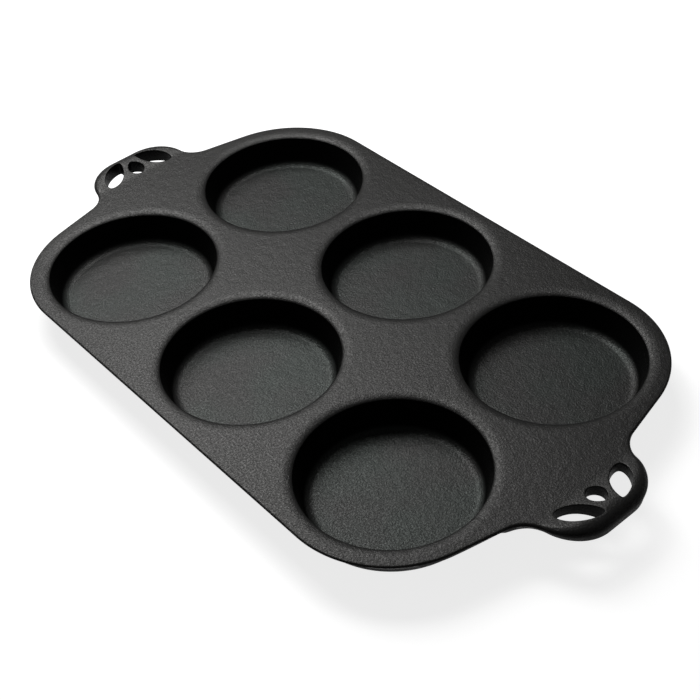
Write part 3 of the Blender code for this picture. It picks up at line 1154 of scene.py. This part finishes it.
@dataclass(frozen=True)
class PiercedGrip:
    """One grip, drawn at +X: a thick slab that rises from the deck and rounds over at its rim.

    Attributes:
        deck: The deck, which gives the grip its edges at the cut.
        rise: How far the top climbs from the deck to the outer end.
        crease: Length over which it eases out of the deck.
        crown_width: Width of the crowned edge at the outer end.
        crown_drop: How far the crown falls there.
        crown_growth: Power by which the crown grows along the grip.
        tip_undercut: How far the lower edge lies under the side at the outer end.
        undercut_growth: Power by which the undercut fades along the grip.
        crown_turn: Angle through which the crown turns, clear of the deck.
        turn_growth: How many times sooner than the outer end that angle is reached.
        middle_base: From the cut to the middle petal.
        middle_tip: From the middle petal to the grip's outer end.
        side_base: From the cut, and from the grip's side, to a side petal's base.
        side_tip: From a side petal's tip to the grip's outer end, and to its middle.
        petal_edge: Radius of the petals' rims.
        spacing: Distance between corners in the faces.
    """

    pan: PanFrame
    outline: Outline
    deck: DeckPlate
    rise: float = 0.0042
    crease: float = 0.0030
    crown_width: float = 0.0100
    crown_drop: float = 0.0064
    crown_growth: float = 1.6
    tip_undercut: float = 0.0003
    undercut_growth: float = 3.0
    crown_steps: int = 14
    crown_turn: float = math.radians(50.0)
    turn_growth: float = 2.5
    middle_base: float = 0.0022
    middle_tip: float = 0.0104
    middle_width: float = 0.0101
    side_base: tuple[float, float] = (0.0020, 0.0100)
    side_tip: tuple[float, float] = (0.0061, 0.0063)
    side_width: float = 0.0110
    petal_edge: float = 0.0005
    petal_steps: int = 5
    spacing: float = 0.0009
    sharp: float = math.radians(40.0)

    def share(self, x: float) -> float:
        """How far out along the grip an X lies, from 0 at the deck to 1 at the outer end."""
        return (x - self.pan.root) / (self.pan.tip - self.pan.root)

    def crown(self, x: float) -> tuple[float, float]:
        """Sizes the crowned edge.

        Args:
            x: X of the outline beside it.

        Returns:
            Its width and its drop.
        """
        share = max(0.0, self.share(x)) ** self.crown_growth
        edge = self.deck.neck_edge
        return blend(edge, self.crown_width, share), blend(edge, self.crown_drop, share)

    def undercut(self, x: float) -> float:
        """How far under the side the lower edge lies: it fades towards the outer end."""
        share = max(0.0, self.share(x)) ** self.undercut_growth
        return blend(self.deck.neck_undercut, self.tip_undercut, share)

    def plane(self, x: float) -> float:
        """Finds the grip's sloping top, which eases out of the deck over the crease.

        Args:
            x: X of a place of it.

        Returns:
            Its level.
        """
        run = max(0.0, x - self.pan.root)
        if run < self.crease:
            climbed = run * run / (2.0 * self.crease)
        else:
            climbed = run - self.crease / 2.0
        reach = self.pan.tip - self.pan.root - self.crease / 2.0
        return self.pan.deck_top + self.rise * climbed / reach

    def nearest(self, x: float, y: float) -> tuple[float, float]:
        """Finds the outline's nearest point.

        Args:
            x: X of a point of the grip.
            y: Its Y.

        Returns:
            The distance to the outline, and the X of the outline there.
        """
        neck = self.outline.neck_centre
        spoke = Vector((x, abs(y))) - neck
        if spoke.dot(unit(-self.outline.grip_lean)) < 0.0:
            reach = self.outline.neck_fillet / spoke.length
            return spoke.length - self.outline.neck_fillet, neck.x + spoke.x * reach
        radius = self.outline.grip_corner
        turned = QUARTER_TURN - self.outline.grip_lean
        corner = self.outline.side_at(self.pan.tip)
        centre = Vector((self.pan.tip - radius, corner.y - radius * math.tan(turned / 2.0)))
        arm = Vector((x, abs(y))) - centre
        if arm.y <= 0.0:
            return self.pan.tip - x, self.pan.tip
        if math.atan2(arm.y, arm.x) <= turned:
            reach = max(arm.length, MERGE_DISTANCE)
            return radius - reach, centre.x + arm.x / reach * radius
        normal = unit(turned)
        gap = (corner - Vector((x, abs(y)))).dot(normal)
        return gap, x + gap * normal.x

    def top_level(self, x: float, y: float) -> float:
        """Finds the grip's upper face with its crowned edge.

        Args:
            x: X of a place of it.
            y: Its Y.

        Returns:
            Its level.
        """
        gap, edge_x = self.nearest(x, y)
        width, drop = self.crown(edge_x)
        lean = 1.0 - max(0.0, min(1.0, gap / width))
        return self.plane(x) - drop * (1.0 - math.sqrt(max(0.0, 1.0 - lean * lean)))

    def outer_rings(self, skin: SkinMesh) -> list[Ring]:
        """Adds the rings of the crowned edge, the side and the rim's lower edge.

        Args:
            skin: The skin to add to.

        Returns:
            The rings from the upper face's border to the lower face's.
        """
        loop = self.outline.grip_loop(self.spacing)
        rings = []
        for step in range(self.crown_steps + 1):
            places = []
            for point, normal in loop:
                turned = smooth_step(self.turn_growth * self.share(point.x))
                turn = blend(QUARTER_TURN, self.crown_turn, turned)
                angle = turn * (1.0 - step / self.crown_steps)
                width, drop = self.crown(point.x)
                inner = self.held(point, normal, width * (1.0 - math.cos(angle)))
                level = self.plane(inner.x) - drop * (1.0 - math.sin(angle))
                places.append(Vector((*inner, level)))
            rings.append(skin.ring(places))
        radius = self.deck.neck_round
        for step in range(self.deck.lower_steps + 1):
            angle = QUARTER_TURN * step / self.deck.lower_steps
            places = []
            for point, normal in loop:
                inset = self.undercut(point.x) + radius * (1.0 - math.cos(angle))
                level = self.pan.grip_low + radius * (1.0 - math.sin(angle))
                places.append(Vector((*self.held(point, normal, inset), level)))
            rings.append(skin.ring(places))
        return rings

    def held(self, point: Vector, normal: Vector, inset: float) -> Vector:
        """Draws a point of the outline in, and keeps it inside the end of the cut.

        Args:
            point: The point.
            normal: The outline's outward normal there.
            inset: How far to draw it in.

        Returns:
            The drawn-in point.
        """
        drawn = point - normal * inset
        if drawn.x >= self.pan.root:
            return drawn
        end, slope = self.outline.cut_pair()
        most = end.y - slope.y * inset
        return Vector((self.pan.root, max(-most, min(most, drawn.y))))

    def petals(self) -> list[PetalSize]:
        """Places the openings: a short middle one and a longer one on each side of it.

        Returns:
            The three petals.
        """
        root, tip = self.pan.root, self.pan.tip
        base_x = root + self.side_base[0]
        base = Vector((base_x, self.outline.side_at(base_x).y - self.side_base[1]))
        point = Vector((tip - self.side_tip[0], self.side_tip[1]))
        middle_base = Vector((root + self.middle_base, 0.0))
        middle_tip = Vector((tip - self.middle_tip, 0.0))
        flip = Vector((1.0, -1.0))
        return [
            PetalSize(middle_base, middle_tip, self.middle_width),
            PetalSize(base, point, self.side_width),
            PetalSize(base * flip, point * flip, self.side_width),
        ]

    def pierce(self, skin: SkinMesh, petal: PetalSize) -> tuple[Ring, Ring]:
        """Adds one opening's rounded upper edge, wall and rounded lower edge.

        Args:
            skin: The skin to add to.
            petal: The opening.

        Returns:
            The opening's rings in the upper face and in the lower face.
        """
        outer = petal.loop(self.petal_edge)
        tops = [self.top_level(p.x, p.y) for p in outer]
        lows = [self.pan.grip_low] * len(outer)
        rings = []
        for levels, side in ((tops, 1.0), (lows, -1.0)):
            face = []
            for step in range(self.petal_steps + 1):
                angle = QUARTER_TURN * step / self.petal_steps
                loop = petal.loop(self.petal_edge * (1.0 - math.sin(angle)))
                drop = self.petal_edge * (1.0 - math.cos(angle)) * side
                face.append(skin.ring([Vector((*p, z - drop)) for p, z in zip(loop, levels)]))
            rings.append(face)
        upper, lower = rings
        skin.bridge(upper + lower[::-1])
        return upper[0], lower[0]

    def make(self, side: Side) -> Object:
        """Builds the grip's closed skin and turns it to its end of the pan.

        Args:
            side: The end of the pan.

        Returns:
            The piece, before its sand wave.
        """
        node, half_turns = side.value
        skin = SkinMesh()
        rings = self.outer_rings(skin)
        skin.bridge(rings)
        openings = [self.pierce(skin, petal) for petal in self.petals()]
        skin.fill([rings[0]] + [upper for upper, _ in openings], self.spacing, self.top_level)
        skin.fill([rings[-1]] + [lower for _, lower in openings], self.spacing,
                  lambda x, y: self.pan.grip_low)
        turn = Matrix.Rotation(math.pi * half_turns, 3, "Z")
        bmesh.ops.rotate(skin.mesh, verts=skin.mesh.verts, matrix=turn)
        return skin.piece(node.replace("handle", "grip"), self.sharp)


def grey(level: float) -> tuple[float, float, float, float]:
    """A grey as a shader takes it."""
    return level, level, level, 1.0


def new_material(name: str) -> tuple[Material, NodeTree, Node]:
    """Starts a material.

    Args:
        name: The material's name.

    Returns:
        The material, its tree in the helper, and its shader.
    """
    made = bpy.data.materials.new(name)
    made.use_nodes = True
    return made, NodeTree(made.node_tree), made.node_tree.nodes["Principled BSDF"]


class IronShaders:
    """Node groups that the iron's materials share. Each is built once."""

    @staticmethod
    @cache
    def sand_grain() -> bpy.types.NodeTree:
        """Makes the grain of the sand mould: fine bumps over slower lumps.

        Returns:
            The group, which gives a height from 0 to 1.
        """
        build, given = NodeTree.group("sand_grain", "ShaderNodeTree", {
            "Vector": "Vector", "Grain Size": "Float", "Lump Size": "Float", "Lump Share": "Float",
        }, {"Height": "Float"})
        grain = build.noise(given["Vector"], given["Grain Size"], Detail=2.0, Roughness=GRAIN_ROUGHNESS)
        lumps = build.noise(given["Vector"], given["Lump Size"], Detail=2.0)
        return build.give(build.mixed(given["Lump Share"], grain, lumps))

    @staticmethod
    @cache
    def seasoning_film() -> bpy.types.NodeTree:
        """Makes the baked-on oil film: cloudy patches and fine speckle.

        Returns:
            The group, which gives a mask from 0 to 1 for each.
        """
        build, given = NodeTree.group("seasoning_film", "ShaderNodeTree", {
            "Vector": "Vector", "Patch Size": "Float", "Speckle Size": "Float",
        }, {"Patches": "Float", "Speckle": "Float"})
        cloud = build.noise(given["Vector"], given["Patch Size"], Detail=2.0)
        speckle = build.noise(given["Vector"], given["Speckle Size"], Detail=1.0)
        return build.give(build.ranged(cloud, PATCH_SPAN, smooth=True),
                          build.ranged(speckle, SPECKLE_SPAN))

    @staticmethod
    @cache
    def cup_depth() -> bpy.types.NodeTree:
        """Tells how deep inside a cup a place lies.

        Returns:
            The group, which gives 0 at the deck and 1 at a cup's floor.
        """
        build, given = NodeTree.group("cup_depth", "ShaderNodeTree", {
            "Vector": "Vector", "Deck Level": "Float", "Floor Level": "Float",
        }, {"Depth": "Float"})
        level = build.add("ShaderNodeSeparateXYZ", {0: given["Vector"]}).outputs[2]
        return build.give(build.ranged(level, (given["Deck Level"], given["Floor Level"])))

    @staticmethod
    @cache
    def dry_sides() -> bpy.types.NodeTree:
        """Tells how steep a face is, for the painted shade that darkens steep faces.

        Returns:
            The group, which gives a mask from 0 to 1.
        """
        build, given = NodeTree.group("dry_sides", "ShaderNodeTree", {
            "Normal": "Vector", "Level Rise": "Float", "Steep Rise": "Float",
        }, {"Steepness": "Float"})
        rise = build.add("ShaderNodeSeparateXYZ", {0: given["Normal"]}).outputs[2]
        return build.give(build.ranged(rise, (given["Level Rise"], given["Steep Rise"]), smooth=True))


@dataclass(frozen=True)
class SeasonedIron:
    """Matte black baked-on seasoning over sand-cast iron, with painted shade on its steep faces.

    Attributes:
        name: The material's name.
        deck: Colour on the deck and the grips.
        cup: Colour in the cups, where the film is thicker and looks green-grey.
        deck_level: Level below which the cups' colour starts.
        floor_level: Level at which it is full.
        metallic: How far the iron shows through the film.
        dry_share: How much of the colour the steep faces lose: painted shade, as if they reflected only
            dark.
        level_rise: Upward part of the normal down to which a face has no painted shade.
        steep_rise: Upward part at which the painted shade is full.
        speckle_share: How much of the colour the fine speckle takes away.
        rough_low: Roughness where the film is thick.
        rough_high: Roughness where it is thin.
        sheen_level: Strength of the film's reflection.
        edge_tint: How much of the surround the iron reflects at a glancing view.
        grain_size: Size of the mould's grain.
        lump_size: Size of its slower lumps.
        lump_share: How much of the height is lumps.
        grain_depth: Height of the grain.
        cup_grain: How much stronger the grain is on the floors of the cups.
        patch_size: Size of the film's cloudy patches.
        speckle_size: Size of its speckle.
    """

    name: str = "seasoned_cast_iron"
    deck: tuple[float, float, float] = (0.0362, 0.0358, 0.0350)
    cup: tuple[float, float, float] = (0.0366, 0.0404, 0.0380)
    deck_level: float = 0.020
    floor_level: float = 0.006
    metallic: float = 0.55
    dry_share: float = 0.88
    level_rise: float = 0.85
    steep_rise: float = 0.45
    speckle_share: float = 0.4
    rough_low: float = 0.30
    rough_high: float = 0.50
    sheen_level: float = 0.15
    edge_tint: float = 0.38
    grain_size: float = 0.0009
    lump_size: float = 0.0045
    lump_share: float = 0.5
    grain_depth: float = 0.00042
    cup_grain: float = 1.4
    patch_size: float = 0.055
    speckle_size: float = 0.0010

    def material(self) -> Material:
        """Builds the iron from its film and its grain, with painted shade on steep faces.

        Returns:
            The material.
        """
        made, build, shader = new_material(self.name)
        place = build.add("ShaderNodeTexCoord").outputs["Object"]
        normal = build.add("ShaderNodeNewGeometry").outputs["Normal"]
        film = build.add("ShaderNodeGroup", {
            "Vector": place, "Patch Size": self.patch_size, "Speckle Size": self.speckle_size,
        }, node_tree=IronShaders.seasoning_film()).outputs
        height = build.add("ShaderNodeGroup", {
            "Vector": place, "Grain Size": self.grain_size,
            "Lump Size": self.lump_size, "Lump Share": self.lump_share,
        }, node_tree=IronShaders.sand_grain()).outputs["Height"]
        depth = build.add("ShaderNodeGroup", {
            "Vector": place, "Deck Level": self.deck_level, "Floor Level": self.floor_level,
        }, node_tree=IronShaders.cup_depth()).outputs["Depth"]
        # Painted shade: the steeper a face, the more of its colour it loses, as if it reflected only dark
        # surroundings.
        steepness = build.add("ShaderNodeGroup", {
            "Normal": normal, "Level Rise": self.level_rise, "Steep Rise": self.steep_rise,
        }, node_tree=IronShaders.dry_sides()).outputs["Steepness"]
        tint = build.mixed(build.math("MULTIPLY", depth, film["Patches"]),
                           (*self.deck, 1.0), (*self.cup, 1.0), colours=True)
        # The speckle is the film's own tone; the steep faces' loss is painted shade.
        lost = build.math("MAXIMUM", build.math("MULTIPLY", film["Speckle"], self.speckle_share),
                          build.math("MULTIPLY", steepness, self.dry_share))
        relief = build.ranged(depth, (0.0, 1.0), (self.grain_depth, self.grain_depth * self.cup_grain))
        bump = build.add("ShaderNodeBump", {"Strength": 1.0, "Distance": relief, "Height": height})
        build.feed(shader, {
            "Base Color": build.mixed(lost, tint, grey(0.0), colours=True),
            "Metallic": self.metallic,
            "Roughness": build.ranged(film["Speckle"], (0.0, 1.0), (self.rough_low, self.rough_high)),
            "Specular IOR Level": self.sheen_level,
            "Specular Tint": grey(self.edge_tint),
            "Normal": bump.outputs[0],
        })
        return made


@dataclass(frozen=True)
class SoftBox:
    """One square or oblong studio lamp that faces the pan.

    Attributes:
        name: The lamp's name.
        azimuth: Where it stands round the pan: 0 is at -Y, 90 at +X.
        elevation: Its height above the horizon.
        power: Its power in watts.
        distance: How far it is from the pan.
        size: Its width and height.
    """

    name: str
    azimuth: float
    elevation: float
    power: float
    distance: float = 0.80
    size: tuple[float, float] = (0.36, 0.42)

    def make(self) -> None:
        """Adds the lamp."""
        lamp = bpy.data.lights.new(self.name, "AREA")
        lamp.shape = "RECTANGLE"
        lamp.size, lamp.size_y = self.size
        lamp.energy = self.power
        holder = placed(self.name, lamp)
        away = view_direction(self.azimuth, self.elevation)
        holder.location = away * self.distance
        holder.rotation_euler = (-away).to_track_quat("-Z", "Y").to_euler()


def view_direction(azimuth: float, elevation: float) -> Vector:
    """The way from the pan to a viewer, by degrees round it (0 at -Y, 90 at +X) and above the horizon."""
    turn, rise = math.radians(azimuth), math.radians(elevation)
    return Vector((math.sin(turn) * math.cos(rise), -math.cos(turn) * math.cos(rise), math.sin(rise)))


@dataclass(frozen=True)
class PhotoCamera:
    """The camera at the photograph's viewing angle.

    Attributes:
        azimuth: Where it stands round the pan.
        elevation: Its height above the horizon.
        roll: How far it leans to one side.
        distance: How far it is from the point that it looks at.
        aim: The point that it looks at, in the deck's top face.
        lens: Focal length for a square frame of the sensor's width.
        sensor: The sensor's width.
    """

    azimuth: float = 53.3
    elevation: float = 42.33
    roll: float = 5.99
    distance: float = 0.73238
    aim: tuple[float, float] = (0.03469, -0.01595)
    lens: float = 69.61
    sensor: float = 36.0

    def make(self, level: float) -> None:
        """Adds the camera.

        Args:
            level: Level of the face that it aims at.
        """
        back = view_direction(self.azimuth, self.elevation)
        turn, lean = math.radians(self.azimuth), math.radians(self.roll)
        right = Vector((math.cos(turn), math.sin(turn), 0.0))
        up = back.cross(right)
        x_axis = right * math.cos(lean) - up * math.sin(lean)
        y_axis = right * math.sin(lean) + up * math.cos(lean)
        data = bpy.data.cameras.new("photo_camera")
        data.lens = self.lens
        data.sensor_width = self.sensor
        camera = placed("photo_camera", data)
        place = Vector((*self.aim, level)) + back * self.distance
        axes = Matrix((x_axis, y_axis, back)).transposed().to_4x4()
        camera.matrix_world = Matrix.Translation(place) @ axes
        bpy.context.scene.camera = camera


@dataclass(frozen=True)
class Studio:
    """A pale floor, two soft lamps beyond the pan, and a dim surround.

    Attributes:
        floor_size: Length of the floor's sides.
        floor_level: Its level, just clear of the cups' feet.
        floor_colour: Its grey where it lights the pan.
        seen_colour: Its grey where it is seen, which takes the pan's shadow.
        seen_glow: Its glow where it is seen, which makes it white.
        surround: Strength of the light from all around, which fills the shadows a little.
        lamps: The lamps.
    """

    floor_size: float = 16.0
    floor_level: float = -0.0002
    floor_colour: float = 0.80
    seen_colour: float = 0.40
    seen_glow: float = 0.80
    surround: float = 0.05
    lamps: tuple[SoftBox, ...] = (
        SoftBox("key", azimuth=264.0, elevation=48.0, power=4.6),
        SoftBox("side", azimuth=236.0, elevation=57.0, power=3.1),
    )

    def make(self) -> None:
        """Adds the floor, the lamps and the world."""
        bpy.context.scene.view_settings.view_transform = "Standard"
        self.floor()
        for lamp in self.lamps:
            lamp.make()
        self.world()

    def floor(self) -> None:
        """Adds the floor, which is no part of the pan."""
        half = self.floor_size / 2.0
        data = bpy.data.meshes.new("floor")
        corners = [(-half, -half), (half, -half), (half, half), (-half, half)]
        data.from_pydata([(x, y, self.floor_level) for x, y in corners], [], [(0, 1, 2, 3)])
        data.materials.append(self.floor_material())
        placed("floor", data)

    def floor_material(self) -> Material:
        """Makes the pale floor that is seen as white and still takes the pan's shadow.

        Returns:
            The material.
        """
        made, build, plain = new_material("pale_floor")
        build.feed(plain, {
            "Base Color": grey(self.floor_colour), "Roughness": 1.0, "Specular IOR Level": 0.0,
        })
        path = build.add("ShaderNodeLightPath").outputs
        seen = build.math("MAXIMUM", path["Is Camera Ray"],
                          build.math("MAXIMUM", path["Is Glossy Ray"], path["Is Transmission Ray"]))
        matte = build.out("ShaderNodeBsdfDiffuse", {"Color": grey(self.seen_colour)})
        glow = build.out("ShaderNodeEmission", {"Strength": self.seen_glow})
        white = build.out("ShaderNodeAddShader", {0: matte, 1: glow})
        mixed = build.out("ShaderNodeMixShader", {0: seen, 1: plain.outputs[0], 2: white})
        build.feed(made.node_tree.nodes["Material Output"], {"Surface": mixed})
        return made

    def world(self) -> None:
        """Sets the surround."""
        world = bpy.data.worlds.new("surround")
        world.use_nodes = True
        NodeTree(world.node_tree).feed(world.node_tree.nodes["Background"], {
            "Color": grey(1.0), "Strength": self.surround,
        })
        bpy.context.scene.world = world


def hand_over(piece: Object, nodes: Sequence[str]) -> None:
    """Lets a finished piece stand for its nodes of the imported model.

    Args:
        piece: The finished piece.
        nodes: The nodes that it replaces.
    """
    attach(piece, BODY)
    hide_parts(*nodes)
    LOG.info("%s: %d faces, stands for %s", piece.name, len(piece.data.polygons), ", ".join(nodes))


def main() -> None:
    """Builds the pan's skins, dresses them, and sets up the studio."""
    logging.basicConfig(level=logging.INFO, format="%(name)s: %(message)s")
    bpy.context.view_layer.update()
    pan = PanFrame.read()
    outline = Outline(pan)
    battery = CupBattery(CupForm(pan))
    deck = DeckPlate(pan, outline, battery)
    grip = PiercedGrip(pan, outline, deck)
    iron = SeasonedIron().material()
    wave = SandWave()

    cups = [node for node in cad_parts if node.startswith("cup_")]
    hand_over(wave.dress(battery.make(iron), iron), sorted(cups))
    hand_over(wave.dress(deck.make(), iron), ["deck"])
    for side in Side:
        hand_over(wave.dress(grip.make(side), iron), [side.value[0]])

    Studio().make()
    PhotoCamera().make(pan.deck_top)


if __name__ == "__main__":
    main()
